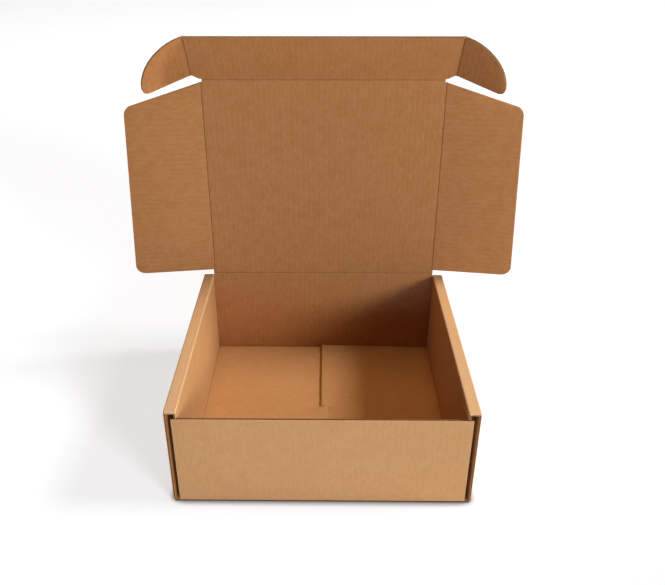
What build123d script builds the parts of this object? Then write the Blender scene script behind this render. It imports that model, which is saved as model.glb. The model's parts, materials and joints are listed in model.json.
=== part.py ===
# Folding box of corrugated board, standing open: a tray with rolled-over side walls, and a lid
# with two side wings, a tuck flap and two rounded ears.
# The origin is the middle of the tray's bottom. +X is to the right, +Y to the back, +Z up.
import os
from math import cos, radians, sin, tan

from build123d import *

# Board and creases
board = 3.0  # thickness of the board
layer_gap = 0.3  # between two layers that lie on each other
crease_gap = 0.15  # from a panel's end to the rounded crease of the flap it carries
bend_radius = 2.2  # of the board's middle line, where a wall is bent up or over
corner_radius = 3.5  # outside, where the front and back walls leave the bottom

# Tray
front_width = 305.0  # of the front and back walls, over their corner flaps
depth = 263.0  # from the front face to the back face
front_height = 114.6
side_height = 123.6  # top of the rolled-over side walls
ear_slot = 3.8  # between a corner flap and the outer side wall
corner_flap_length = 74.0
corner_flap_taper = 9.0  # how much lower a corner flap is at its free end
end_gap = 0.6  # from the inner side walls and floor flaps to the front and back walls

# Floor flaps, which lock into each other across the middle
slit_y = 4.5  # where the two flaps pass through each other
slit_gap = 0.8
ramp_start = 25.0  # from the middle, where an upper tongue starts to rise
ramp_length = 11.0
left_upper_reach = 7.0  # how far the left flap's upper tongue goes past the middle
right_upper_reach = 1.5
left_lower_reach = 11.0
right_lower_reach = 4.0

# Lid
lid_clearance = 2.2  # from the side walls' tops to the closed lid
wing_play = 0.4  # from a folded wing to the inner side wall
lid_foot = 4.5  # height of the wider strip beside the lid's hinge crease

# Wings
wing_width = 102.5
wing_foot = 4.8  # from the lid's hinge to a wing's lower edge
wing_head = 3.5  # from the tuck flap's crease to a wing's upper edge
wing_corner = 12.0
wing_head_slope = 15.5  # degrees that the upper edge falls outwards
wing_side_slope = 2.6  # degrees that the free edge leans inwards
wing_angle = 7.0  # degrees forward of the lid, as the box stands

# Tuck flap and ears
tuck_length = 66.0
tuck_angle = 31.0  # degrees forward of the lid, as the box stands
ear_reach = 59.9
ear_arc_radius = 52.3
ear_corner = 9.0
ear_heel_slope = 2.5  # degrees that an ear's lower edge rises outwards
ear_play = 0.5  # from a closed ear up to the top of the side wall it slides under
ear_angle = 35.0  # degrees inward of the tuck flap, as the box stands

# Levels and faces that follow from these sizes
half_board = board / 2
half_depth = depth / 2
front_inside = -half_depth + board
back_inside = half_depth - board
corner_flap_face = front_width / 2
outer_wall_inside = corner_flap_face + ear_slot
outer_wall_face = outer_wall_inside + board
inner_wall_outside = corner_flap_face - board - layer_gap
inner_wall_face = inner_wall_outside - board
side_top_underside = side_height - board
floor_flap_middle = board + layer_gap + half_board
upper_tongue_middle = floor_flap_middle + board + layer_gap
tray_width = 2 * outer_wall_face

# Hinge lines, each in the middle of the board
hinge_y = half_depth - half_board
hinge_z = side_height + lid_clearance + half_board
tuck_line_y = -half_depth - layer_gap - half_board  # of the closed lid, in front of the front wall
lid_length = hinge_y - tuck_line_y
wing_line_x = inner_wall_face - wing_play - half_board
ear_line_x = outer_wall_inside - layer_gap - half_board
crease_setback = half_board + crease_gap
ear_foot = hinge_z - side_top_underside + ear_play
ear_heel = ear_foot + ear_reach * tan(radians(ear_heel_slope))

os.makedirs("parts", exist_ok=True)


def wall_loop(y_wall, y_inner_face, wall_top, toward):
    """A front or back wall with its two corner flaps, bent toward the middle of the tray."""
    mid_y = (y_wall + y_inner_face) / 2
    flap_x = corner_flap_face - half_board
    flap_end = y_wall + toward * corner_flap_length
    with BuildPart() as loop:
        with BuildSketch() as plan:
            with BuildLine() as middle_line:
                FilletPolyline(
                    (-flap_x, flap_end),
                    (-flap_x, mid_y),
                    (flap_x, mid_y),
                    (flap_x, flap_end),
                    radius=bend_radius,
                )
            trace(line_width=board)
        extrude(amount=wall_top)
        # The flaps hang free of the bottom and get lower towards their ends
        flap_low = board + layer_gap
        flap_high = min(wall_top, side_top_underside - layer_gap)
        with BuildSketch(Plane.YZ.offset(-outer_wall_face)) as flap_side:
            with BuildLine():
                Polyline(
                    (y_inner_face, flap_low),
                    (flap_end, flap_low + corner_flap_taper),
                    (flap_end, flap_high - corner_flap_taper),
                    (y_inner_face, flap_high),
                    (y_wall, flap_high),
                    (y_wall, 0),
                    (y_inner_face, 0),
                    close=True,
                )
            make_face()
        extrude(amount=tray_width, mode=Mode.INTERSECT)
    return loop.part


front_wall = wall_loop(-half_depth, front_inside, front_height, 1)
back_wall = wall_loop(half_depth, back_inside, side_top_underside - layer_gap, -1)

with BuildPart() as tray:
    # Bottom, outer side walls, tops, inner side walls and floor flaps are one bent strip
    with BuildSketch(Plane.XZ.offset(-half_depth)) as side_section:
        with BuildLine():
            FilletPolyline(
                (-ramp_start, floor_flap_middle),
                (-inner_wall_face - half_board, floor_flap_middle),
                (-inner_wall_face - half_board, side_height - half_board),
                (-outer_wall_face + half_board, side_height - half_board),
                (-outer_wall_face + half_board, half_board),
                (outer_wall_face - half_board, half_board),
                (outer_wall_face - half_board, side_height - half_board),
                (inner_wall_face + half_board, side_height - half_board),
                (inner_wall_face + half_board, floor_flap_middle),
                (ramp_start, floor_flap_middle),
                radius=bend_radius,
            )
        trace(line_width=board)
    extrude(amount=depth)

    # The inner walls and floor flaps stop short of the front and back walls
    inner_low = board + layer_gap / 2
    inner_high = side_top_underside - layer_gap / 2
    end_cut = board + end_gap
    with BuildSketch(Plane.XY.offset(inner_low)) as wall_ends:
        with Locations((0, -half_depth + end_cut / 2), (0, half_depth - end_cut / 2)):
            Rectangle(2 * inner_wall_outside + layer_gap, end_cut)
    extrude(amount=inner_high - inner_low, mode=Mode.SUBTRACT)

    # Each floor flap ends in an upper and a lower tongue, one each side of the slit
    flap_front = -half_depth + end_cut
    flap_back = half_depth - end_cut
    slit_front = slit_y - slit_gap / 2
    slit_back = slit_y + slit_gap / 2
    for side, upper_span, upper_reach, lower_span, lower_reach in (
        (-1, (flap_front, slit_front), left_upper_reach, (slit_back, flap_back), left_lower_reach),
        (1, (slit_back, flap_back), right_upper_reach, (flap_front, slit_front), right_lower_reach),
    ):
        with BuildSketch(Plane.XZ.offset(-upper_span[1])) as upper_tongue:
            with BuildLine():
                Polyline(
                    (side * (ramp_start + board), floor_flap_middle),
                    (side * ramp_start, floor_flap_middle),
                    (side * (ramp_start - ramp_length), upper_tongue_middle),
                    (-side * upper_reach, upper_tongue_middle),
                )
            trace(line_width=board)
        extrude(amount=upper_span[1] - upper_span[0])
        with BuildSketch(Plane.XZ.offset(-lower_span[1])) as lower_tongue:
            with Locations((side * (ramp_start - lower_reach) / 2, floor_flap_middle)):
                Rectangle(ramp_start + lower_reach, board)
        extrude(amount=lower_span[1] - lower_span[0])

    add(front_wall)
    add(back_wall)

    # The back wall rises between the side walls to the lid's crease
    with BuildSketch(Plane.XY.offset(board)) as back_rise:
        with Locations((0, hinge_y)):
            Rectangle(2 * (inner_wall_face - layer_gap), board)
    extrude(amount=hinge_z - crease_setback - board)

    # Notches in the bottom free the outer side walls from the front and back walls
    with BuildSketch() as notches:
        with GridLocations(2 * corner_flap_face + ear_slot, depth - board, 2, 2):
            Rectangle(ear_slot, board)
    extrude(amount=board, mode=Mode.SUBTRACT)

    # Seen from the side, the sheet is bent round at the foot of the front and back walls
    with BuildSketch(Plane.YZ.offset(-outer_wall_face)) as silhouette:
        with Locations((0, hinge_z / 2)):
            Rectangle(depth, hinge_z)
        fillet(silhouette.vertices().group_by(Axis.Y)[0], radius=corner_radius)
    extrude(amount=tray_width, mode=Mode.INTERSECT)

tray.part.label = "tray"
export_step(tray.part, "parts/tray.step")

# The lid stands upright on its crease
lid_half_width = wing_line_x - crease_setback
lid_foot_half_width = inner_wall_face - layer_gap
with BuildPart() as lid:
    with BuildSketch(Plane.XZ.offset(-hinge_y)) as lid_face:
        with Locations((0, hinge_z)):
            Rectangle(
                2 * lid_half_width,
                lid_length - crease_setback,
                align=(Align.CENTER, Align.MIN),
            )
            Rectangle(2 * lid_foot_half_width, lid_foot, align=(Align.CENTER, Align.MIN))
    extrude(amount=half_board, both=True)
    with BuildSketch(Plane.YZ) as hinge_crease:
        with Locations((hinge_y, hinge_z)):
            Circle(half_board)
    extrude(amount=lid_foot_half_width, both=True)

lid.part.label = "lid"
export_step(lid.part, "parts/lid.step")

# Wings, on the lid's two sides
wing_top = lid_length - wing_head
head_drop = wing_width * tan(radians(wing_head_slope))
side_lean = (wing_top - head_drop) * tan(radians(wing_side_slope))
for name, side in (("left_wing", -1), ("right_wing", 1)):
    lean = radians(wing_angle)
    wing_plane = Plane(
        origin=(side * wing_line_x, hinge_y, hinge_z),
        x_dir=(side * cos(lean), -sin(lean), 0),
        z_dir=(-side * sin(lean), -cos(lean), 0),
    )
    with BuildPart() as wing:
        with BuildSketch(wing_plane) as wing_face:
            with BuildLine():
                Polyline(
                    (0, side * wing_foot),
                    (wing_width, side * wing_foot),
                    (wing_width - side_lean, side * (wing_top - head_drop)),
                    (0, side * wing_top),
                    close=True,
                )
            make_face()
            fillet(wing_face.vertices().sort_by(Axis.X)[-2:], radius=wing_corner)
        extrude(amount=half_board, both=True)
        with BuildSketch(Plane.XY.offset(hinge_z + wing_foot)) as wing_crease:
            with Locations((side * wing_line_x, hinge_y)):
                Circle(half_board)
        extrude(amount=wing_top - wing_foot)
    wing.part.label = name
    export_step(wing.part, f"parts/{name}.step")

# Tuck flap, on the lid's free edge, with sloped shoulders out to the ears
tilt = radians(tuck_angle)
tuck_plane = Plane(
    origin=(0, hinge_y, hinge_z + lid_length),
    x_dir=(1, 0, 0),
    z_dir=(0, -cos(tilt), -sin(tilt)),
)
with BuildPart() as tuck_flap:
    with BuildSketch(tuck_plane) as tuck_face:
        tuck_side = ear_line_x - crease_setback
        with BuildLine():
            Polyline(
                (-lid_half_width, 0),
                (lid_half_width, 0),
                (tuck_side, ear_foot),
                (tuck_side, tuck_length),
                (-tuck_side, tuck_length),
                (-tuck_side, ear_foot),
                close=True,
            )
        make_face()
    extrude(amount=half_board, both=True)
    with BuildSketch(Plane.YZ) as tuck_crease:
        with Locations((hinge_y, hinge_z + lid_length)):
            Circle(half_board)
    extrude(amount=lid_half_width, both=True)

tuck_flap.part.label = "tuck_flap"
export_step(tuck_flap.part, "parts/tuck_flap.step")

# Ears, on the tuck flap's two ends
for name, side in (("left_ear", -1), ("right_ear", 1)):
    fold = radians(ear_angle)
    outward = tuck_plane.x_dir * (side * cos(fold)) + tuck_plane.z_dir * sin(fold)
    ear_root = tuck_plane.from_local_coords(Vector(side * ear_line_x, 0, 0))
    ear_plane = Plane(
        origin=ear_root,
        x_dir=outward,
        z_dir=outward.cross(tuck_plane.y_dir),
    )
    crease_plane = Plane(origin=ear_root, x_dir=outward, z_dir=tuck_plane.y_dir)
    with BuildPart() as ear:
        with BuildSketch(ear_plane) as ear_face:
            with BuildLine():
                Polyline((0, tuck_length), (0, ear_foot), (ear_reach, ear_heel))
                RadiusArc((0, tuck_length), (ear_reach, ear_heel), ear_arc_radius)
            make_face()
            fillet(ear_face.vertices().sort_by(Axis.X)[-1], radius=ear_corner)
        extrude(amount=half_board, both=True)
        with BuildSketch(crease_plane.offset(ear_foot)) as ear_crease:
            Circle(half_board)
        extrude(amount=tuck_length - ear_foot)
    ear.part.label = name
    export_step(ear.part, f"parts/{name}.step")
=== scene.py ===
import json
import math

import bmesh
import bpy
import numpy as np
from mathutils import Matrix, Vector


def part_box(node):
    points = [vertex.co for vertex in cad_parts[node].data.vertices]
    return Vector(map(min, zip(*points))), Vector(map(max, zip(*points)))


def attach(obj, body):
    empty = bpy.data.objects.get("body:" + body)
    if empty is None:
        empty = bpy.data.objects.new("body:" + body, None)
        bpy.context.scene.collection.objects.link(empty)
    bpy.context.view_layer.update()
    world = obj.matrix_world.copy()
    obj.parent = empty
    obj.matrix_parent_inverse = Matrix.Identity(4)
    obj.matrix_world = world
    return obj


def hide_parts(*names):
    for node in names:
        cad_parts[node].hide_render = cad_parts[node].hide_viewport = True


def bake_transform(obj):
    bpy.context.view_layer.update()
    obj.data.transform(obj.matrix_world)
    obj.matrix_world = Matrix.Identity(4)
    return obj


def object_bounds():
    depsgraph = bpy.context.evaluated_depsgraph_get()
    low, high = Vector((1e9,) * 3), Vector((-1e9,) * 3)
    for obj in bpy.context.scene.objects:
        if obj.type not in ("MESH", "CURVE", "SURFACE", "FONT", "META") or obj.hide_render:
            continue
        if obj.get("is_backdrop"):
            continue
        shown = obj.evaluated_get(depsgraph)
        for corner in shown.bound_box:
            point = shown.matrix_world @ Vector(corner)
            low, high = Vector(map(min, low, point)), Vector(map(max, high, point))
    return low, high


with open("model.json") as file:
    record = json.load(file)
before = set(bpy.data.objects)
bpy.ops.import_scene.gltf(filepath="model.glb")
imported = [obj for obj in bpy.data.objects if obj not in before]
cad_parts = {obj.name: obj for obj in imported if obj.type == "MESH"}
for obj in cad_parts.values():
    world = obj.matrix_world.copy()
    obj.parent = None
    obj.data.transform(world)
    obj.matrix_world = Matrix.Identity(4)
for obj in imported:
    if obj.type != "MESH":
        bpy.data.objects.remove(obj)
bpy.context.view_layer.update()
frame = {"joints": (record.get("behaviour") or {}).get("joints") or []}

MM = 0.001
FRAME_WIDTH, FRAME_HEIGHT = 665, 585

# Places and sizes that the frame gives
joints = {joint["name"]: joint for joint in frame["joints"]}
hinge = Vector(joints["lid_hinge"]["pos_m"])
tuck_hinge = Vector(joints["tuck_fold"]["pos_m"])
wing_line = joints["right_wing_fold"]["pos_m"][0]
ear_line = joints["right_ear_fold"]["pos_m"][0]
wing_angle = -math.radians(joints["right_wing_fold"]["range_deg"][0])
tuck_angle = -math.radians(joints["tuck_fold"]["range_deg"][0])
ear_angle = -math.radians(joints["right_ear_fold"]["range_deg"][0])
tray_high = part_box("tray")[1]
lid_low, lid_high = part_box("lid")
tuck_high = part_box("tuck_flap")[1]

board = lid_high.y - lid_low.y
half_board = board / 2
half_depth = tray_high.y
outer_wall_middle = tray_high.x - half_board
lid_length = tuck_hinge.z - hinge.z
lid_foot_half_width = lid_high.x
tuck_length = (tuck_high.z - tuck_hinge.z - half_board * math.sin(tuck_angle)) / math.cos(tuck_angle)

# Creases and gaps
crease_gap = 0.15 * MM
crease_setback = half_board + crease_gap
layer_gap = 0.3 * MM
bend_radius = 2.2 * MM
bend_points = 9
foot_radius = 3.5 * MM
foot_row = 1.6 * MM
# Each bend is a radius and the share of the board that is pressed flat into its edge
round_bend = (bend_radius, 0.0)
foot_bend = (foot_radius - half_board, 0.0)
top_bend = (0.7 * MM, 0.6)
corner_bend = (0.45 * MM, 0.75)
lid_half_width = wing_line - crease_setback
tuck_half_width = ear_line - crease_setback

# Tray. A closed ear stands in the slot between an outer side wall and its front corner flap
side_drop = 2.2 * MM
side_height = hinge.z - half_board - side_drop
front_height = 114.6 * MM
ear_slot = 3.8 * MM
corner_middle = outer_wall_middle - half_board - ear_slot - half_board
inner_wall_middle = corner_middle - board - layer_gap
inner_wall_face = inner_wall_middle - half_board
side_top_underside = side_height - board
wall_end_gap = 0.6 * MM
wall_end = half_depth - board - wall_end_gap
corner_flap_length = 74 * MM
corner_flap_taper = 9 * MM
notch_depth = 0.8 * MM
# Width of the painted shade beside the crease at the foot of each inner wall
foot_shade_spread = 0.9 * MM

# Floor flaps. The twist is tight at the slit and widens by its spread for each unit of length from it
floor_middle = board + layer_gap + half_board
tongue_rise = board + layer_gap
slit_y = 4.5 * MM
slit_half_gap = 0.3 * MM
slit_depth = 3 * MM
twist_spread = 1.2

# Lid wings and ears
lid_foot = 4.5 * MM
wing_width = 102.5 * MM
wing_foot = 4.8 * MM
wing_top_gap = 3.5 * MM
wing_top = lid_length - wing_top_gap
wing_corner = 12 * MM
wing_head_slope = math.radians(15.5)
wing_side_slope = math.radians(2.6)
ear_foot_gap = 0.5 * MM
ear_foot = hinge.z - side_top_underside + ear_foot_gap
ear_reach = 59.9 * MM
ear_arc_radius = 52.3 * MM
ear_corner = 9 * MM
heel_slope = math.radians(2.5)

# Board: B-flute, its waves 6.5 mm apart
flute_pitch = 6.5 * MM
liner_paper = 0.42 * MM
fluting_paper = 0.26 * MM
liner_relief = 0.05 * MM
weld_distance = 0.002 * MM

# The blade crushes a cut edge, and the ends of the rolled side walls are crushed a little more
crushed_edge = 1.4 * MM
crush_share = 0.3
crush_rows = np.array([0.0, 0.35, 1.0])
crush_fade = np.array([1.0, 0.4, 0.0])
rolled_end_crush = 1.6

# A crease that moves has a groove pressed into its inside, and dips a little outside
groove_depth = 0.7 * MM
groove_spread = 0.1 * MM
groove_step = 4 * MM
groove_share = 0.6
# The middle of the groove takes the darker crease colour, partly painted shade
dark_groove_share = 0.35
outside_dip = 0.3 * MM

# What shows in the paper, and how large it is
cloud_width = 14 * MM
fibre_width = 0.9 * MM
fibre_length = 9 * MM
flute_patch_width = 40 * MM
fleck_spacing = 7 * MM
tooth_width = 0.9 * MM
tooth_height = 0.08 * MM


def linear(colour):
    """An sRGB colour such as #B98350 as linear red, green, blue and alpha."""
    parts = [int(colour[i : i + 2], 16) / 255 for i in (1, 3, 5)]
    return [p / 12.92 if p <= 0.04045 else ((p + 0.055) / 1.055) ** 2.4 for p in parts] + [1.0]


def add(tree, kind, settings, inputs):
    """Adds a node. Each input is a value or the socket that feeds it."""
    made = tree.nodes.new(kind)
    for name, value in settings.items():
        setattr(made, name, value)
    for key, value in inputs.items():
        if isinstance(value, bpy.types.NodeSocket):
            tree.links.new(value, made.inputs[key])
        else:
            made.inputs[key].default_value = value
    return made


# Materials


def kraft_paper(name, base, pale, dark, streak, fleck_share):
    """Unbleached kraft paper, with cloudy fibre, short fibres, dark flecks and faint flute lines."""
    material = bpy.data.materials.new(name)
    material.use_nodes = True
    tree = material.node_tree
    tree.nodes.clear()
    place = add(tree, "ShaderNodeTexCoord", {}, {}).outputs["Object"]
    sheet = add(tree, "ShaderNodeUVMap", {"uv_map": "sheet"}, {}).outputs["UV"]

    # Pulp settles in clouds about 14 mm wide
    clouds = add(
        tree,
        "ShaderNodeTexNoise",
        {},
        {"Vector": place, "Scale": 1 / cloud_width, "Detail": 4.0, "Roughness": 0.6},
    )
    cloud_mix = add(
        tree,
        "ShaderNodeMapRange",
        {},
        {"Value": clouds.outputs["Fac"], "From Min": 0.3, "From Max": 0.7, "To Min": 0.0, "To Max": 1.0},
    )
    ground = add(
        tree,
        "ShaderNodeMix",
        {"data_type": "RGBA"},
        {0: cloud_mix.outputs["Result"], 6: linear(base), 7: linear(pale)},
    )

    # Fibres lie mostly along the flutes. Real ones are 0.03 mm thick and drawn 0.9 mm to show
    stretched = add(
        tree,
        "ShaderNodeMapping",
        {},
        {"Vector": sheet, "Scale": (1 / fibre_width, 1 / fibre_length, 1.0)},
    )
    fibres = add(
        tree,
        "ShaderNodeTexNoise",
        {},
        {
            "Vector": stretched.outputs["Vector"],
            "Scale": 1.0,
            "Detail": 3.0,
            "Roughness": 0.7,
            "Distortion": 0.6,
        },
    )
    fibre_mix = add(
        tree,
        "ShaderNodeMapRange",
        {},
        {"Value": fibres.outputs["Fac"], "From Min": 0.38, "From Max": 0.68, "To Min": 0.0, "To Max": 0.5},
    )
    fibred = add(
        tree,
        "ShaderNodeMix",
        {"data_type": "RGBA"},
        {0: fibre_mix.outputs["Result"], 6: ground.outputs[2], 7: linear(dark)},
    )

    # The liner shows where it is glued to the flutes, in some patches more than in others
    across = add(tree, "ShaderNodeSeparateXYZ", {}, {"Vector": sheet})
    turns = add(
        tree, "ShaderNodeMath", {"operation": "MULTIPLY"}, {0: across.outputs["X"], 1: math.tau / flute_pitch}
    )
    wave = add(tree, "ShaderNodeMath", {"operation": "SINE"}, {0: turns.outputs[0]})
    patches = add(
        tree, "ShaderNodeTexNoise", {}, {"Vector": place, "Scale": 1 / flute_patch_width, "Detail": 2.0}
    )
    strength = add(
        tree,
        "ShaderNodeMapRange",
        {},
        {"Value": patches.outputs["Fac"], "From Min": 0.35, "From Max": 0.65, "To Min": 0.3, "To Max": 1.0},
    )
    lines = add(
        tree, "ShaderNodeMath", {"operation": "MULTIPLY"}, {0: wave.outputs[0], 1: strength.outputs[0]}
    )
    line_mix = add(
        tree,
        "ShaderNodeMapRange",
        {},
        {"Value": lines.outputs[0], "From Min": -1.0, "To Min": 0.0, "To Max": streak},
    )
    lined = add(
        tree,
        "ShaderNodeMix",
        {"data_type": "RGBA"},
        {0: line_mix.outputs["Result"], 6: fibred.outputs[2], 7: linear(dark)},
    )

    # Flecks of bark, up to 1.4 mm across, in a share of cells 7 mm wide
    cells = add(
        tree,
        "ShaderNodeTexVoronoi",
        {"feature": "F1"},
        {"Vector": place, "Scale": 1 / fleck_spacing, "Randomness": 1.0},
    )
    chosen = add(tree, "ShaderNodeSeparateColor", {}, {"Color": cells.outputs["Color"]})
    size = add(
        tree,
        "ShaderNodeMapRange",
        {},
        {
            "Value": chosen.outputs["Red"],
            "From Min": 1.0 - fleck_share,
            "From Max": 1.0,
            "To Min": 0.0,
            "To Max": 0.1,
        },
    )
    inside = add(
        tree,
        "ShaderNodeMath",
        {"operation": "LESS_THAN"},
        {0: cells.outputs["Distance"], 1: size.outputs["Result"]},
    )
    fleck_mix = add(tree, "ShaderNodeMath", {"operation": "MULTIPLY"}, {0: inside.outputs[0], 1: 0.55})
    flecked = add(
        tree,
        "ShaderNodeMix",
        {"data_type": "RGBA"},
        {0: fleck_mix.outputs[0], 6: lined.outputs[2], 7: linear("#5A3A1E")},
    )

    # Painted highlight and shade: folds that catch the light are painted paler, and a crease where shade
    # gathers is painted darker
    painted_light = add(tree, "ShaderNodeAttribute", {"attribute_name": "painted_light"}, {})
    highlight_mix = add(tree, "ShaderNodeMath", {"operation": "MULTIPLY"}, {0: painted_light.outputs["Fac"], 1: 0.38})
    highlighted = add(
        tree,
        "ShaderNodeMix",
        {"data_type": "RGBA"},
        {0: highlight_mix.outputs[0], 6: flecked.outputs[2], 7: linear("#E6C8A8")},
    )
    # Painted shade: where the value is below nought the colour turns darker
    shade_mix = add(tree, "ShaderNodeMath", {"operation": "MULTIPLY"}, {0: painted_light.outputs["Fac"], 1: -0.7})
    pressed = add(
        tree,
        "ShaderNodeMix",
        {"data_type": "RGBA"},
        {0: shade_mix.outputs[0], 6: highlighted.outputs[2], 7: linear("#6B4526")},
    )

    # The paper's tooth is finer than 0.1 mm, and drawn 0.9 mm to show
    tooth = add(
        tree,
        "ShaderNodeTexNoise",
        {},
        {"Vector": place, "Scale": 1 / tooth_width, "Detail": 3.0, "Roughness": 0.65},
    )
    rough = add(
        tree,
        "ShaderNodeMapRange",
        {},
        {"Value": tooth.outputs["Fac"], "From Min": 0.3, "From Max": 0.7, "To Min": 0.78, "To Max": 0.92},
    )
    relief = add(
        tree, "ShaderNodeMath", {"operation": "ADD"}, {0: tooth.outputs["Fac"], 1: fibres.outputs["Fac"]}
    )
    bump = add(
        tree, "ShaderNodeBump", {}, {"Strength": 0.35, "Distance": tooth_height, "Height": relief.outputs[0]}
    )
    shader = add(
        tree,
        "ShaderNodeBsdfPrincipled",
        {},
        {
            "Base Color": pressed.outputs[2],
            "Roughness": rough.outputs["Result"],
            "Normal": bump.outputs["Normal"],
            "IOR": 1.5,
            "Specular IOR Level": 0.25,
        },
    )
    add(tree, "ShaderNodeOutputMaterial", {}, {"Surface": shader.outputs[0]})
    return material


# Inside liner: matt brown paper with a warm cast, cloudy and faintly ribbed
inside_liner = kraft_paper("kraft_liner_inside", "#A87345", "#B07B50", "#87562C", 0.15, 0.3)
# Outside liner: the same paper from the hotter, smoother face, paler and a little greyer
outside_liner = kraft_paper("kraft_liner_outside", "#C09266", "#C6996E", "#AB7F56", 0.07, 0.3)
# Fluting: rougher recycled paper, darker, seen only at the cut edges
fluting_paper_look = kraft_paper("recycled_fluting_paper", "#8E6842", "#9C7650", "#6B4A2C", 0.0, 0.6)
# Cut edge: painted darker than the face, as painted shade of the hollow flutes behind the edge
shaded_cut_edge = kraft_paper("cut_board_edge_shaded", "#8A6440", "#9A7450", "#64452A", 0.0, 0.4)
# Pressed crease: the paper is stretched and burnished, which makes a thin darker line, darkened further as
# painted shade in the groove
crease_burnish_and_shade = kraft_paper("crease_burnish_and_shade", "#94653A", "#A37245", "#73492A", 0.0, 0.2)


# Corrugated board, made flat: X across the flutes, Y along them, Z towards the inside liner


def paper_layer(tree, sheet, low, high, material):
    """One closed sheet of paper between two heights, each a field over the flat sheet."""
    raised = add(
        tree,
        "GeometryNodeExtrudeMesh",
        {"mode": "FACES"},
        {"Mesh": sheet, "Offset Scale": MM, "Individual": False},
    )
    under = add(tree, "GeometryNodeFlipFaces", {}, {"Mesh": sheet})
    both = add(tree, "GeometryNodeJoinGeometry", {}, {})
    tree.links.new(raised.outputs["Mesh"], both.inputs[0])
    tree.links.new(under.outputs["Mesh"], both.inputs[0])
    closed = add(
        tree, "GeometryNodeMergeByDistance", {}, {"Geometry": both.outputs[0], "Distance": weld_distance}
    )
    place = add(tree, "GeometryNodeInputPosition", {}, {})
    here = add(tree, "ShaderNodeSeparateXYZ", {}, {"Vector": place.outputs[0]})
    is_top = add(tree, "ShaderNodeMath", {"operation": "GREATER_THAN"}, {0: here.outputs["Z"], 1: MM / 2})
    height = add(tree, "ShaderNodeMix", {"data_type": "FLOAT"}, {0: is_top.outputs[0], 2: low, 3: high})
    point = add(
        tree,
        "ShaderNodeCombineXYZ",
        {},
        {"X": here.outputs["X"], "Y": here.outputs["Y"], "Z": height.outputs[0]},
    )
    shaped = add(
        tree, "GeometryNodeSetPosition", {}, {"Geometry": closed.outputs[0], "Position": point.outputs[0]}
    )
    return add(
        tree, "GeometryNodeSetMaterial", {}, {"Geometry": shaped.outputs[0], "Material": material}
    ).outputs[0]


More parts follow.
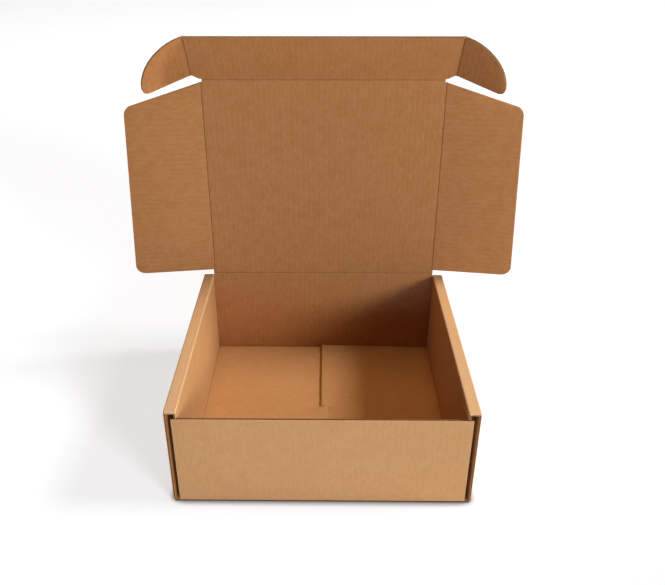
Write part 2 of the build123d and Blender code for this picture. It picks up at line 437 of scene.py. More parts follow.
def corrugated_board_tree():
    """A flat sheet in, and two liners with the fluting between them out."""
    tree = bpy.data.node_groups.new("corrugated_board", "GeometryNodeTree")
    inputs = (
        ("Sheet", "NodeSocketGeometry"),
        ("Pitch", "NodeSocketFloat"),
        ("Board", "NodeSocketFloat"),
        ("Liner", "NodeSocketFloat"),
        ("Fluting", "NodeSocketFloat"),
        ("Relief", "NodeSocketFloat"),
        ("Crush", "NodeSocketFloat"),
        ("Inside Liner", "NodeSocketMaterial"),
        ("Outside Liner", "NodeSocketMaterial"),
        ("Fluting Paper", "NodeSocketMaterial"),
        ("Cut Edge", "NodeSocketMaterial"),
    )
    for name, kind in inputs:
        tree.interface.new_socket(name=name, in_out="INPUT", socket_type=kind)
    tree.interface.new_socket(name="Board", in_out="OUTPUT", socket_type="NodeSocketGeometry")
    given = add(tree, "NodeGroupInput", {}, {}).outputs
    plus, minus, times, over = ({"operation": word} for word in ("ADD", "SUBTRACT", "MULTIPLY", "DIVIDE"))

    sheet = add(
        tree, "GeometryNodeMergeByDistance", {}, {"Geometry": given["Sheet"], "Distance": weld_distance}
    ).outputs[0]
    place = add(tree, "GeometryNodeInputPosition", {}, {})
    here = add(tree, "ShaderNodeSeparateXYZ", {}, {"Vector": place.outputs[0]})
    waves = add(tree, "ShaderNodeMath", over, {0: here.outputs["X"], 1: given["Pitch"]}).outputs[0]
    turns = add(tree, "ShaderNodeMath", times, {0: waves, 1: math.tau}).outputs[0]
    wave = add(tree, "ShaderNodeMath", {"operation": "SINE"}, {0: turns}).outputs[0]

    # Half of the board's thickness, less where the blade crushed it
    pinch = add(tree, "GeometryNodeInputNamedAttribute", {"data_type": "FLOAT"}, {"Name": "pinch"}).outputs[0]
    crushed = add(tree, "ShaderNodeMath", times, {0: pinch, 1: given["Crush"]}).outputs[0]
    left = add(tree, "ShaderNodeMath", minus, {0: 1.0, 1: crushed}).outputs[0]
    full_half = add(tree, "ShaderNodeMath", times, {0: given["Board"], 1: 0.5}).outputs[0]
    half = add(tree, "ShaderNodeMath", times, {0: full_half, 1: left}).outputs[0]

    # The fluting swings between the liners
    half_fluting = add(tree, "ShaderNodeMath", times, {0: given["Fluting"], 1: 0.5}).outputs[0]
    liner_low = add(tree, "ShaderNodeMath", minus, {0: half, 1: given["Liner"]}).outputs[0]
    swing = add(tree, "ShaderNodeMath", minus, {0: liner_low, 1: half_fluting}).outputs[0]
    fluting_middle = add(tree, "ShaderNodeMath", times, {0: wave, 1: swing}).outputs[0]
    fluting_low = add(tree, "ShaderNodeMath", minus, {0: fluting_middle, 1: half_fluting}).outputs[0]
    fluting_high = add(tree, "ShaderNodeMath", plus, {0: fluting_middle, 1: half_fluting}).outputs[0]

    # Each liner sags a little where no flute holds it up
    half_relief = add(tree, "ShaderNodeMath", times, {0: given["Relief"], 1: 0.5}).outputs[0]
    off_crest = add(tree, "ShaderNodeMath", minus, {0: 1.0, 1: wave}).outputs[0]
    off_trough = add(tree, "ShaderNodeMath", plus, {0: 1.0, 1: wave}).outputs[0]
    inside_sag = add(tree, "ShaderNodeMath", times, {0: half_relief, 1: off_crest}).outputs[0]
    outside_sag = add(tree, "ShaderNodeMath", times, {0: half_relief, 1: off_trough}).outputs[0]
    inside_high = add(tree, "ShaderNodeMath", minus, {0: half, 1: inside_sag}).outputs[0]
    inside_low = add(tree, "ShaderNodeMath", minus, {0: inside_high, 1: given["Liner"]}).outputs[0]
    outside_low = add(tree, "ShaderNodeMath", minus, {0: outside_sag, 1: half}).outputs[0]
    outside_high = add(tree, "ShaderNodeMath", plus, {0: outside_low, 1: given["Liner"]}).outputs[0]

    layers = add(tree, "GeometryNodeJoinGeometry", {}, {})
    for low, high, material in (
        (inside_low, inside_high, given["Inside Liner"]),
        (outside_low, outside_high, given["Outside Liner"]),
        (fluting_low, fluting_high, given["Fluting Paper"]),
    ):
        tree.links.new(paper_layer(tree, sheet, low, high, material), layers.inputs[0])
    real = add(tree, "GeometryNodeRealizeInstances", {}, {"Geometry": layers.outputs[0]})

    # Faces that stand across the sheet are where it was cut
    normal = add(tree, "GeometryNodeInputNormal", {}, {})
    facing = add(tree, "ShaderNodeSeparateXYZ", {}, {"Vector": normal.outputs[0]})
    steep = add(tree, "ShaderNodeMath", {"operation": "ABSOLUTE"}, {0: facing.outputs["Z"]})
    is_cut = add(tree, "ShaderNodeMath", {"operation": "LESS_THAN"}, {0: steep.outputs[0], 1: 0.3})
    edged = add(
        tree,
        "GeometryNodeSetMaterial",
        {},
        {"Geometry": real.outputs[0], "Selection": is_cut.outputs[0], "Material": given["Cut Edge"]},
    )
    add(tree, "NodeGroupOutput", {}, {0: edged.outputs[0]})
    return tree


board_tree = corrugated_board_tree()
board_sizes_and_papers = {
    "Pitch": flute_pitch,
    "Board": board,
    "Liner": liner_paper,
    "Fluting": fluting_paper,
    "Relief": liner_relief,
    "Crush": crush_share,
    "Inside Liner": inside_liner,
    "Outside Liner": outside_liner,
    "Fluting Paper": fluting_paper_look,
    "Cut Edge": shaded_cut_edge,
}


def columns_over(start, end, stops=()):
    """Places across the flutes, ten to each wave, and one at each stop."""
    step = flute_pitch / 10
    even = np.arange(math.ceil(start / step), math.floor(end / step) + 1) * step
    marks = np.array([start, end, *stops])
    clear = np.abs(even[:, None] - marks[None, :]).min(axis=1) > step / 5
    return np.unique(np.concatenate([even[clear], marks]))


def around(place):
    """Two stops close together, for a step in an edge."""
    return place - 0.01 * MM, place + 0.01 * MM


def folded_board(columns, low, high, fold, rows=(), cut=(1, 1), side_cut=(1, 1), painted_light=((0.0,), (0.0,))):
    """Board between low and high on each column, carried by fold to its place in the box.
    Cut and side_cut say how much each edge is crushed: 0 where it is joined to more board.
    The last argument gives places across it, and how far each is painted pale as a highlight, or painted dark
    as shade below nought."""
    low, high = np.broadcast_to(low, columns.shape), np.broadcast_to(high, columns.shape)
    ease = np.minimum(crushed_edge, 0.45 * (high - low))[:, None] * crush_rows
    starts, ends = low[:, None] + ease, high[:, None] - ease[:, ::-1]
    between = np.clip(np.array(rows)[None, :], starts[:, -1:], ends[:, :1]) if len(rows) else starts[:, :0]
    along = np.concatenate([starts, between, ends], axis=1)
    cut_low, cut_high = (np.broadcast_to(share, columns.shape)[:, None] for share in cut)
    pinch = np.zeros_like(along)
    pinch[:, :3] = cut_low * crush_fade
    pinch[:, -3:] = cut_high * crush_fade[::-1]
    for share, place in zip(side_cut, (columns[0], columns[-1])):
        near = np.clip(1 - np.abs(columns - place) / crushed_edge, 0, 1) ** 2
        pinch = np.maximum(pinch, (share * near)[:, None])
    count = along.shape[1]
    points = np.stack([np.repeat(columns, count), along.ravel(), np.zeros(along.size)], axis=1)
    first = (np.arange(len(columns) - 1)[:, None] * count + np.arange(count - 1)[None, :]).ravel()
    quads = np.stack([first, first + count, first + count + 1, first + 1], axis=1)
    flat = bpy.data.meshes.new("flat_sheet")
    flat.from_pydata(points.tolist(), [], quads.tolist())
    flat.attributes.new("pinch", "FLOAT", "POINT").data.foreach_set("value", pinch.ravel())
    carrier = bpy.data.objects.new("flat_sheet", flat)
    bpy.context.scene.collection.objects.link(carrier)
    modifier = carrier.modifiers.new("corrugated_board", "NODES")
    modifier.node_group = board_tree
    for item in board_tree.interface.items_tree:
        if item.in_out == "INPUT" and item.name in board_sizes_and_papers:
            modifier[item.identifier] = board_sizes_and_papers[item.name]
    mesh = bpy.data.meshes.new_from_object(carrier.evaluated_get(bpy.context.evaluated_depsgraph_get()))
    bpy.data.objects.remove(carrier)
    bpy.data.meshes.remove(flat)

    flat_points = np.zeros(len(mesh.vertices) * 3)
    mesh.vertices.foreach_get("co", flat_points)
    u, v, w = flat_points.reshape(-1, 3).T
    corner_points = np.zeros(len(mesh.loops), dtype=int)
    mesh.loops.foreach_get("vertex_index", corner_points)
    sheet_map = mesh.uv_layers.new(name="sheet")
    sheet_map.data.foreach_set("uv", np.stack([u, v], axis=1)[corner_points].ravel())
    mesh.attributes.new("painted_light", "FLOAT", "POINT").data.foreach_set("value", np.interp(np.abs(u), *painted_light))
    placed = np.stack(np.broadcast_arrays(*fold(u, v, w)), axis=1)
    mesh.vertices.foreach_set("co", placed.ravel())
    mesh.update()
    return facing_out(mesh)


def facing_out(mesh):
    """Turns a closed mesh's faces outwards if folding has turned them in."""
    work = bmesh.new()
    work.from_mesh(mesh)
    if work.calc_volume(signed=True) < 0:
        bmesh.ops.reverse_faces(work, faces=work.faces)
        work.to_mesh(mesh)
    work.free()
    return mesh


def finished(name, meshes, body):
    """Joins meshes into one piece that rides on a body and stands for its node, which has the same name."""
    joined = bpy.data.meshes.new(name)
    looks = list(meshes[0].materials)
    work = bmesh.new()
    for mesh in meshes:
        slots = np.zeros(len(mesh.polygons), dtype=int)
        mesh.polygons.foreach_get("material_index", slots)
        same = np.array([looks.index(look) for look in mesh.materials])
        mesh.polygons.foreach_set("material_index", same[slots])
        work.from_mesh(mesh)
    work.to_mesh(joined)
    work.free()
    for look in looks:
        joined.materials.append(look)
    for mesh in meshes:
        bpy.data.meshes.remove(mesh)
    joined.shade_smooth()
    joined.set_sharp_from_angle(angle=math.radians(40))
    piece = bpy.data.objects.new(name, joined)
    bpy.context.scene.collection.objects.link(piece)
    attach(piece, body)
    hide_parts(body)


class BentLine:
    """A line in a plane with a bend at each inner corner, to fold a sheet along."""

    def __init__(self, corners, bends):
        corners = [np.array(corner, float) for corner in corners]
        points, normals = [corners[0]], []
        for before, corner, after, (radius, pressed) in zip(corners, corners[1:], corners[2:], bends):
            into = (corner - before) / np.linalg.norm(corner - before)
            out = (after - corner) / np.linalg.norm(after - corner)
            first, last = np.array([-into[1], into[0]]), np.array([-out[1], out[0]])
            mitre = (first + last) / (1 + first @ last)
            heading = math.atan2(into[1], into[0])
            turn = math.atan2(into[0] * out[1] - into[1] * out[0], into @ out)
            side = math.copysign(1.0, turn)
            start = corner - into * radius * math.tan(abs(turn) / 2)
            centre = start + side * radius * first
            if not normals:
                normals.append(first)
            for share in np.linspace(0, 1, bend_points):
                angle = heading + turn * share
                normal = np.array([-math.sin(angle), math.cos(angle)])
                points.append(centre - side * radius * normal)
                normals.append(pressed * mitre + (1 - pressed) * normal)
        points.append(corners[-1])
        normals.append(last)
        self.points, self.normals = np.array(points), np.array(normals)
        steps = np.linalg.norm(np.diff(self.points, axis=0), axis=1)
        self.lengths = np.concatenate([[0.0], np.cumsum(steps)])
        self.length = self.lengths[-1]

    def bend(self, number):
        """How far along the line each point of a bend lies, from its start to its end."""
        return self.lengths[1 + number * bend_points :][:bend_points]

    def at(self, distance, offset):
        """Points at these distances along the line, offset to its left."""
        return [
            np.interp(distance, self.lengths, self.points[:, axis])
            + offset * np.interp(distance, self.lengths, self.normals[:, axis])
            for axis in (0, 1)
        ]


def foot_end(height):
    """How far forward or back the sheet reaches at a height, where it is bent round at the foot."""
    drop = np.clip(foot_radius - height, 0, foot_radius)
    return half_depth - foot_radius + np.sqrt(foot_radius**2 - drop**2)


# Tray: the front wall, bottom and back wall are one sheet bent up at the two feet
wall_middle_y = half_depth - half_board
body_half_width = corner_middle - bend_radius
back_corner_top = side_top_underside - layer_gap
body_line = BentLine(
    [
        (-wall_middle_y, front_height),
        (-wall_middle_y, half_board),
        (wall_middle_y, half_board),
        (wall_middle_y, tray_high.z),
    ],
    [foot_bend] * 2,
)


def fold_body(u, v, w):
    y, z = body_line.at(v, w)
    return u, y, z


back_step = inner_wall_face - layer_gap
body_columns = columns_over(-body_half_width, body_half_width, [*around(-back_step), *around(back_step)])
body_end = np.where(
    np.abs(body_columns) < back_step, body_line.length, body_line.length - (tray_high.z - back_corner_top)
)
body_meshes = [
    folded_board(
        body_columns,
        0.0,
        body_end,
        fold_body,
        rows=[*body_line.bend(0)[::2], *body_line.bend(1)[::2]],
        cut=(1, np.abs(body_columns) > back_step),
        side_cut=(0, 0),
    )
]

# Corner flaps bend back from the front and back walls into the hollow side walls
for end, wall_top in ((-1, front_height), (1, back_corner_top)):
    for side in (-1, 1):
        corner_line = BentLine(
            [
                (side * body_half_width, end * wall_middle_y),
                (side * corner_middle, end * wall_middle_y),
                (side * corner_middle, end * (half_depth - corner_flap_length)),
            ],
            [corner_bend],
        )
        inward = -side * end

        def fold_corner(u, v, w):
            x, y = corner_line.at(np.abs(u) - body_half_width, inward * w)
            return x, np.clip(y, -foot_end(v), foot_end(v)), v

        at_bend = body_half_width + corner_line.bend(0)
        spread = columns_over(body_half_width, body_half_width + corner_line.length, at_bend[::2])
        middle_y = np.abs(corner_line.at(spread - body_half_width, 0.0)[1])
        free = np.clip((half_depth - board - middle_y) / (corner_flap_length - board), 0, 1)
        low = np.where(free > 0, board + layer_gap + free * corner_flap_taper, 0.0)
        high = wall_top - free * corner_flap_taper
        order = np.argsort(side * spread)
        # A painted highlight: the bend round each corner of the box is painted paler
        body_meshes.append(
            folded_board(
                (side * spread)[order],
                low[order],
                high[order],
                fold_corner,
                rows=[foot_row, foot_radius],
                side_cut=(0, 1)[::side],
                painted_light=(at_bend[[0, bend_points // 2, -1]], (0, 1, 0)),
            )
        )
finished("front_and_back_walls", body_meshes, "tray")

# Side walls: up from the bottom, over the narrow top and down again inside
side_meshes = []
for side in (-1, 1):
    side_line = BentLine(
        [
            (side * body_half_width, half_board),
            (side * outer_wall_middle, half_board),
            (side * outer_wall_middle, side_height - half_board),
            (side * inner_wall_middle, side_height - half_board),
            (side * inner_wall_middle, floor_middle),
            (side * (inner_wall_middle - bend_radius), floor_middle),
        ],
        [round_bend, top_bend, top_bend, top_bend],
    )

    def fold_side(u, v, w):
        x, z = side_line.at(np.abs(u) - body_half_width, side * w)
        return x, np.clip(v, -foot_end(z), foot_end(z)), z

    # The sheet's outside shows both on the outer wall and, rolled over, on the inner one
    notch_end = outer_wall_middle - half_board
    outer_edge, inner_edge, inner_foot = (body_half_width + side_line.bend(number) for number in (1, 2, 3))
    halfway = bend_points // 2
    # Painted highlight along the rolled top, from the outer edge to the inner edge, and painted shade in the
    # crease at the inner wall's foot
    top_highlight = (outer_edge[0], outer_edge[halfway], inner_edge[halfway], inner_edge[-1])
    foot_shade = (inner_foot[0] - foot_shade_spread, inner_foot[0], inner_foot[-1], inner_foot[-1] + foot_shade_spread)
    at_bends = np.concatenate([outer_edge, inner_edge, inner_foot])[::2]
    side_end = body_half_width + side_line.length
    spread = columns_over(body_half_width, side_end, [*around(notch_end), *at_bends])
    middle_z = side_line.at(spread - body_half_width, 0.0)[1]
    rolled_in = spread > inner_edge[0]
    front_reach = np.where(rolled_in & (middle_z < front_height + layer_gap), wall_end, half_depth)
    back_reach = np.where(rolled_in & (middle_z < back_corner_top + layer_gap), wall_end, half_depth)
    front_reach = np.where(spread < notch_end, half_depth - notch_depth, front_reach)
    back_reach = np.where(spread < notch_end, half_depth - notch_depth, back_reach)
    order = np.argsort(side * spread)
    side_meshes.append(
        folded_board(
            (side * spread)[order],
            -front_reach[order],
            back_reach[order],
            fold_side,
            cut=(rolled_end_crush, rolled_end_crush),
            side_cut=(0, 0),
            painted_light=((*top_highlight, *foot_shade), (0, 1, 1, 0, 0, -1, -1, 0)),
        )
    )
finished("side_walls", side_meshes, "tray")

# Floor flaps: each has an upper and a lower tongue past its slit, and twists gently to lift the
# upper one over the other flap
floor_meshes = []
for side, upper_front, upper_reach, lower_reach in (
    (-1, True, 7 * MM, 11 * MM),
    (1, False, 1.5 * MM, 4 * MM),
):
    flap_start = inner_wall_middle - bend_radius
    slit_start = flap_start - slit_depth
    toward_upper = -1 if upper_front else 1

    def fold_flap(u, v, w):
        from_slit = np.maximum(slit_start - v, 0)
        spread = slit_half_gap + twist_spread * from_slit
        share = np.clip((toward_upper * (u - slit_y) + spread) / (2 * spread), 0, 1)
        lift = tongue_rise * share * share * (3 - 2 * share) * np.minimum(v / slit_start, 1)
        return side * (flap_start - v), u, floor_middle + lift - w

    twist_rows = slit_start * (1 - np.linspace(1, 0, 12)[1:-1] ** 2)
    floor_meshes.append(
        folded_board(
            columns_over(-wall_end, wall_end, (slit_y - slit_half_gap, slit_y + slit_half_gap)),
            0.0,
            slit_start,
            fold_flap,
            rows=twist_rows,
            cut=(0, 0),
        )
    )
    front_reach, back_reach = (upper_reach, lower_reach) if upper_front else (lower_reach, upper_reach)
    for start, end, reach in (
        (-wall_end, slit_y - slit_half_gap, front_reach),
        (slit_y + slit_half_gap, wall_end, back_reach),
    ):
        floor_meshes.append(
            folded_board(columns_over(start, end), slit_start, flap_start + reach, fold_flap, cut=(0, 1))
        )
finished("floor_flaps", floor_meshes, "tray")


def fold_flat(origin, across, along, inward):
    """Carries a flat sheet to a plane in the box."""

    def fold(u, v, w):
        return [origin[i] + across[i] * u + along[i] * v + inward[i] * w for i in range(3)]

    return fold


def spans(outline, columns):
    """The lowest and highest point of a closed outline on each column."""
    low, high = np.full(len(columns), np.inf), np.full(len(columns), -np.inf)
    touching = 1e-6 * MM
    for (u0, v0), (u1, v1) in zip(outline, [*outline[1:], outline[0]]):
        on = (columns >= min(u0, u1) - touching) & (columns <= max(u0, u1) + touching)
        if abs(u1 - u0) < touching:
            ends = [np.full(len(columns), v0), np.full(len(columns), v1)]
        else:
            ends = [v0 + (columns - u0) / (u1 - u0) * (v1 - v0)]
        for v in ends:
            low = np.where(on, np.minimum(low, v), low)
            high = np.where(on, np.maximum(high, v), high)
    return low, high


# Lid, upright on its hinge, a little wider in a strip beside the crease
lid_columns = columns_over(
    -lid_foot_half_width, lid_foot_half_width, [*around(-lid_half_width), *around(lid_half_width)]
)
lid_end = np.where(np.abs(lid_columns) < lid_half_width, lid_length - crease_setback, lid_foot)
up = Vector((0, 0, 1))
fold_lid = fold_flat(hinge, Vector((1, 0, 0)), up, Vector((0, -1, 0)))
lid_cut = np.abs(lid_columns) > lid_half_width
finished(
    "lid_panel",
    [folded_board(lid_columns, crease_setback, lid_end, fold_lid, cut=(0, lid_cut), side_cut=(0, 0))],
    "lid",
)

# Wings, with their flutes level
head_drop = wing_width * math.tan(wing_head_slope)
side_lean = (wing_top - head_drop) * math.tan(wing_side_slope)
wing_edge = BentLine(
    [
        (wing_foot, crease_setback),
        (wing_foot, wing_width),
        (wing_top - head_drop, wing_width - side_lean),
        (wing_top - crease_setback * head_drop / wing_width, crease_setback),
    ],
    [(wing_corner, 0.0)] * 2,
).points
for name, side in (("left_wing", -1), ("right_wing", 1)):
    outward = Vector((side * math.cos(wing_angle), -math.sin(wing_angle), 0))
    inward = Vector((-side * math.sin(wing_angle), -math.cos(wing_angle), 0))
    wing_columns = columns_over(wing_foot, wing_edge[-1][0])
    wing_low, wing_high = spans([tuple(point) for point in wing_edge], wing_columns)
    fold_wing = fold_flat(Vector((side * wing_line, hinge.y, hinge.z)), up, outward, inward)
    wing_mesh = folded_board(wing_columns, wing_low, wing_high, fold_wing, cut=(0, 1))
    finished(f"{name}_panel", [wing_mesh], name)

# Tuck flap, with sloped shoulders out to the ears
tuck_along = Vector((0, -math.sin(tuck_angle), math.cos(tuck_angle)))
tuck_inward = Vector((0, -math.cos(tuck_angle), -math.sin(tuck_angle)))
tuck_foot = lid_half_width + (tuck_half_width - lid_half_width) * crease_setback / ear_foot
tuck_outline = [
    (-tuck_foot, crease_setback),
    (tuck_foot, crease_setback),
    (tuck_half_width, ear_foot),
    (tuck_half_width, tuck_length),
    (-tuck_half_width, tuck_length),
    (-tuck_half_width, ear_foot),
]
tuck_columns = columns_over(-tuck_half_width, tuck_half_width, [-tuck_foot, tuck_foot])
tuck_low, tuck_end = spans(tuck_outline, tuck_columns)
fold_tuck = fold_flat(tuck_hinge, Vector((1, 0, 0)), tuck_along, tuck_inward)
tuck_cut = np.abs(tuck_columns) > lid_half_width
tuck_mesh = folded_board(tuck_columns, tuck_low, tuck_end, fold_tuck, cut=(tuck_cut, 1), side_cut=(0, 0))
finished("tuck_flap_panel", [tuck_mesh], "tuck_flap")

# Ears: a wide arc from the crease to a rounded tip, and a straight heel
heel_end = Vector((ear_reach, ear_foot + ear_reach * math.tan(heel_slope)))
arc_start = Vector((0, tuck_length))
chord = heel_end - arc_start
arc_sagitta = math.sqrt(ear_arc_radius**2 - (chord.length / 2) ** 2)
arc_centre = (arc_start + heel_end) / 2 + Vector((chord.y, -chord.x)).normalized() * arc_sagitta
heel_normal = Vector((-math.sin(heel_slope), math.cos(heel_slope)))
tip_base = Vector((0, ear_foot)) + heel_normal * ear_corner
heel_direction = Vector((math.cos(heel_slope), math.sin(heel_slope)))
to_centre = tip_base - arc_centre
half_b = to_centre.dot(heel_direction)
tip_run = -half_b + math.sqrt(half_b**2 - to_centre.length_squared + (ear_arc_radius - ear_corner) ** 2)
tip_centre = tip_base + heel_direction * tip_run
tip_start = (tip_centre - arc_centre).angle_signed(Vector((1, 0)))
arc_from = math.acos((crease_setback - arc_centre.x) / ear_arc_radius)
ear_outline = [
    arc_centre + ear_arc_radius * Vector((math.cos(a), math.sin(a)))
    for a in np.linspace(arc_from, tip_start, 60)
]
ear_outline += [
    tip_centre + ear_corner * Vector((math.cos(a), math.sin(a)))
    for a in np.linspace(tip_start, heel_slope - math.pi / 2, 24)
]
ear_outline.append(Vector((crease_setback, ear_foot + crease_setback * math.tan(heel_slope))))
for name, side in (("left_ear", -1), ("right_ear", 1)):
    outward = Vector((side * math.cos(ear_angle), 0, 0)) + tuck_inward * math.sin(ear_angle)
    inward = tuck_inward * math.cos(ear_angle) - Vector((side * math.sin(ear_angle), 0, 0))
    ear_columns = columns_over(crease_setback, max(point.x for point in ear_outline))
    ear_low, ear_high = spans([tuple(point) for point in ear_outline], ear_columns)
    ear_root = Vector((side * ear_line, tuck_hinge.y, tuck_hinge.z))
    fold_ear = fold_flat(ear_root, outward, tuck_along, inward)
    ear_mesh = folded_board(ear_columns, ear_low, ear_high, fold_ear, side_cut=(0, 1))
    finished(f"{name}_panel", [ear_mesh], name)


# Creases at the folds: a short pressed strip, built with the turn between its two panels


def crease(name, root, axis, start, end, first_along, inward, turn, seed):
    """The strip from one panel's end to the next, pressed in along its middle from the inside."""
    chance = np.random.default_rng(seed)
    stations = np.linspace(start, end, max(8, int((end - start) / groove_step)))
    depth = groove_depth + groove_spread * chance.standard_normal(len(stations)).clip(-1.5, 1.5)
    across = np.array([-1, -0.6, -0.45, -0.3, -0.15, 0, 0.15, 0.3, 0.45, 0.6, 1])
    dip = np.clip(1 - np.abs(across) / groove_share, 0, 1) ** 1.5
    ring_t = np.concatenate([across, across[::-1]]) * crease_setback
    ring = []
    for station, deep in zip(stations, depth):
        offset = np.concatenate([half_board - deep * dip, (-half_board + outside_dip * dip)[::-1]])
        ring.append([(station, t, w) for t, w in zip(ring_t, offset)])
    count = len(ring_t)
    points = []
    for station, t, w in (p for r in ring for p in r):
        share = (t / crease_setback + 1) / 2
        bend = Matrix.Rotation(turn * share * share * (3 - 2 * share), 3, axis)
        points.append(root + axis * station + bend @ (first_along * t + inward * w))
    faces = [
        (i * count + k, i * count + (k + 1) % count, (i + 1) * count + (k + 1) % count, (i + 1) * count + k)
        for i in range(len(stations) - 1)
        for k in range(count)
    ]
    half = count // 2
    for base in (0, (len(stations) - 1) * count):
        faces += [
            (base + k, base + k + 1, base + count - 2 - k, base + count - 1 - k) for k in range(half - 1)
        ]
    mesh = bpy.data.meshes.new(name)
    mesh.from_pydata([tuple(p) for p in points], [], faces)
    for look in (inside_liner, outside_liner, crease_burnish_and_shade):
        mesh.materials.append(look)
    for face in mesh.polygons[: (len(stations) - 1) * count]:
        place = face.index % count
        pressed = place < half and np.abs(across[place : place + 2]).max() < dark_groove_share
        face.material_index = 2 if pressed else int(place >= half)
    sheet_map = mesh.uv_layers.new(name="sheet")
    flat = [(t, station) for r in ring for station, t, w in r]
    for corner in mesh.loops:
        sheet_map.data[corner.index].uv = flat[corner.vertex_index]
    work = bmesh.new()
    work.from_mesh(mesh)
    bmesh.ops.recalc_face_normals(work, faces=work.faces)
    work.to_mesh(mesh)
    work.free()
    facing_out(mesh)
    mesh.shade_smooth()
    mesh.set_sharp_from_angle(angle=math.radians(50))
    piece = bpy.data.objects.new(name, mesh)
    bpy.context.scene.collection.objects.link(piece)
    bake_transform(piece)


right = Vector((1, 0, 0))
forward = Vector((0, -1, 0))
crease(
    "lid_crease", hinge, right, -lid_foot_half_width, lid_foot_half_width, up, forward, 0.0, 1
)
crease(
    "tuck_crease",
    tuck_hinge,
    right,
    -lid_half_width,
    lid_half_width,
    up,
    forward,
    tuck_angle,
    2,
)
for name, side in (("left", -1), ("right", 1)):
    crease(
        f"{name}_wing_crease",
        Vector((side * wing_line, hinge.y, hinge.z)),
        up,
        wing_foot,
        wing_top,
        right * side,
        forward,
        -side * wing_angle,
        3,
    )
    crease(
        f"{name}_ear_crease",
        Vector((side * ear_line, tuck_hinge.y, tuck_hinge.z)),
        tuck_along,
        ear_foot,
        tuck_length,
        right * side,
        tuck_inward,
        -side * ear_angle,
        4,
    )


# Studio
floor_half_width = 8.0
floor_drop = 0.05 * MM
close_shade_reach = 11 * MM
box_middle = (0, 0, 0.15)


def studio_world():
    """Plain white to look at, and a faint warm light on all else."""
    world = bpy.data.worlds.new("studio")
    world.use_nodes = True
    tree = world.node_tree
    tree.nodes.clear()
    path = add(tree, "ShaderNodeLightPath", {}, {})
    seen = add(
        tree,
        "ShaderNodeMath",
        {"operation": "MAXIMUM"},
        {0: path.outputs["Is Camera Ray"], 1: path.outputs["Is Glossy Ray"]},
    )
    seen = add(
        tree,
        "ShaderNodeMath",
        {"operation": "MAXIMUM"},
        {0: seen.outputs[0], 1: path.outputs["Is Transmission Ray"]},
    )
    ambient = add(tree, "ShaderNodeBackground", {}, {"Color": linear("#FFE6C8"), "Strength": 0.03})
    white = add(tree, "ShaderNodeBackground", {}, {"Color": linear("#FDFDFD"), "Strength": 1.0})
    mixed = add(
        tree,
        "ShaderNodeMixShader",
        {},
        {0: seen.outputs[0], 1: ambient.outputs[0], 2: white.outputs[0]},
    )
    add(tree, "ShaderNodeOutputWorld", {}, {"Surface": mixed.outputs[0]})
    bpy.context.scene.world = world


def studio_floor():
    """White seamless paper, lifted to white for the camera while it keeps the soft shadow."""
    material = bpy.data.materials.new("seamless_paper_floor")
    material.use_nodes = True
    tree = material.node_tree
    tree.nodes.clear()
    path = add(tree, "ShaderNodeLightPath", {}, {})
    paper = add(tree, "ShaderNodeBsdfDiffuse", {}, {"Color": linear("#EDEDEB"), "Roughness": 1.0})
    # Painted contact shadow: the paper is painted darker where the box stands close over it, and tinted brown
    # with the board's colour as a painted bounce of its light
    near = add(tree, "ShaderNodeAmbientOcclusion", {"samples": 8}, {"Distance": close_shade_reach})
    open_share = add(
        tree,
        "ShaderNodeMapRange",
        {},
        {"Value": near.outputs["AO"], "From Min": 0.4, "From Max": 0.88, "To Min": 0.0, "To Max": 1.0},
    ).outputs["Result"]
    contact_shadow_colour = add(
        tree,
        "ShaderNodeMix",
        {"data_type": "RGBA"},
        {0: open_share, 6: linear("#6E5644"), 7: linear("#ADB5C7")},
    )
    faint = add(tree, "ShaderNodeBsdfDiffuse", {}, {"Color": contact_shadow_colour.outputs[2], "Roughness": 1.0})
    lift = add(tree, "ShaderNodeMath", {"operation": "MULTIPLY"}, {0: open_share, 1: 0.65})
    glow = add(tree, "ShaderNodeEmission", {}, {"Color": linear("#FFFFFF"), "Strength": lift.outputs[0]})
    lifted = add(tree, "ShaderNodeAddShader", {}, {0: faint.outputs[0], 1: glow.outputs[0]})
    both = add(
        tree,
        "ShaderNodeMixShader",
        {},
        {0: path.outputs["Is Camera Ray"], 1: paper.outputs[0], 2: lifted.outputs[0]},
    )
    add(tree, "ShaderNodeOutputMaterial", {}, {"Surface": both.outputs[0]})
    mesh = bpy.data.meshes.new("studio_floor")
    reach = floor_half_width
    corners = [(-reach, -reach, 0), (reach, -reach, 0), (reach, reach, 0), (-reach, reach, 0)]
    mesh.from_pydata(corners, [], [(0, 1, 2, 3)])
    mesh.materials.append(material)
    floor = bpy.data.objects.new("studio_floor", mesh)
    floor.location.z = -floor_drop
    bpy.context.scene.collection.objects.link(floor)
    floor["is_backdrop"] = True


def lamp(name, kind, place, aim, power, colour, **shape):
    """A lamp at a place, turned towards a point."""
    light = bpy.data.lights.new(name, kind)
    light.energy = power
    light.color = linear(colour)[:3]
    for setting, value in shape.items():
        setattr(light, setting, value)
    item = bpy.data.objects.new(name, light)
    item.location = place
    item.rotation_mode = "QUATERNION"
    item.rotation_quaternion = (Vector(aim) - item.location).to_track_quat("-Z", "Y")
    bpy.context.scene.collection.objects.link(item)


studio_world()
studio_floor()
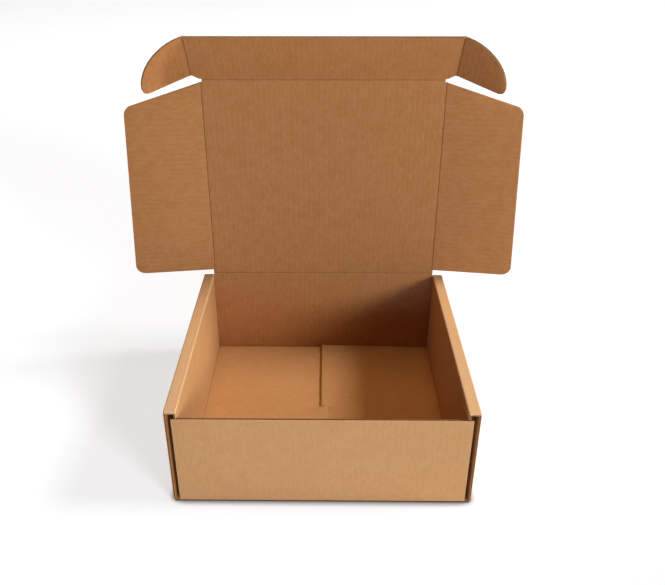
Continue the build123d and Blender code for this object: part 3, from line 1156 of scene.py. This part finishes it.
# A large window-like lamp, high on the right, gives the long shadow inside the tray
lamp("key_lamp", "AREA", (2.99, 0.21, 2.80), box_middle, 143, "#FFF8E6", shape="DISK", size=1.25)
lamp("right_fill", "AREA", (3.24, -3.50, 1.65), box_middle, 151, "#FFFCF1", shape="DISK", size=1.5)
lamp("front_fill", "AREA", (0.17, -4.98, 0.59), box_middle, 81, "#C7E2FF", shape="DISK", size=1.5)
lamp("overhead_fill", "AREA", (0, -0.07, 4.15), box_middle, 38, "#FFCF89", shape="DISK", size=1.5)
# A narrow lamp skims the lid, so the wing turned towards it is lighter than the other
lamp(
    "skimming_lamp",
    "SPOT",
    (5.0, -0.05, 0.272),
    (-0.15, 0.125, 0.27),
    1200,
    "#FFFFFF",
    spot_size=2 * math.atan(0.135 / 5),
    spot_blend=0.35,
    shadow_soft_size=0.06,
)

# Camera, level with a person who stands before the table the box is on
camera_focus = 680.2
camera_axis = (319.1, 205.2)
camera_pitch = math.radians(25.90)
camera_yaw = math.radians(-0.56)
camera_roll = math.radians(-0.08)
camera_place = (2.4 * MM, -649.5 * MM, 605.6 * MM)
lens = bpy.data.cameras.new("camera")
lens.sensor_fit = "HORIZONTAL"
lens.sensor_width = 36.0
lens.lens = camera_focus / FRAME_WIDTH * lens.sensor_width
lens.shift_x = (FRAME_WIDTH / 2 - camera_axis[0]) / FRAME_WIDTH
lens.shift_y = (camera_axis[1] - FRAME_HEIGHT / 2) / FRAME_WIDTH
camera = bpy.data.objects.new("camera", lens)
sight = Vector(
    (
        math.sin(camera_yaw) * math.cos(camera_pitch),
        math.cos(camera_yaw) * math.cos(camera_pitch),
        -math.sin(camera_pitch),
    )
)
level = Vector((math.cos(camera_yaw), -math.sin(camera_yaw), 0))
above = level.cross(sight)
camera_right = level * math.cos(camera_roll) + above * math.sin(camera_roll)
camera_up = above * math.cos(camera_roll) - level * math.sin(camera_roll)
camera_axes = Matrix((camera_right, camera_up, -sight)).transposed().to_4x4()
camera.matrix_world = Matrix.Translation(camera_place) @ camera_axes
bpy.context.scene.collection.objects.link(camera)
bpy.context.scene.camera = camera
bpy.context.scene.view_settings.view_transform = "Standard"

low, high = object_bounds()
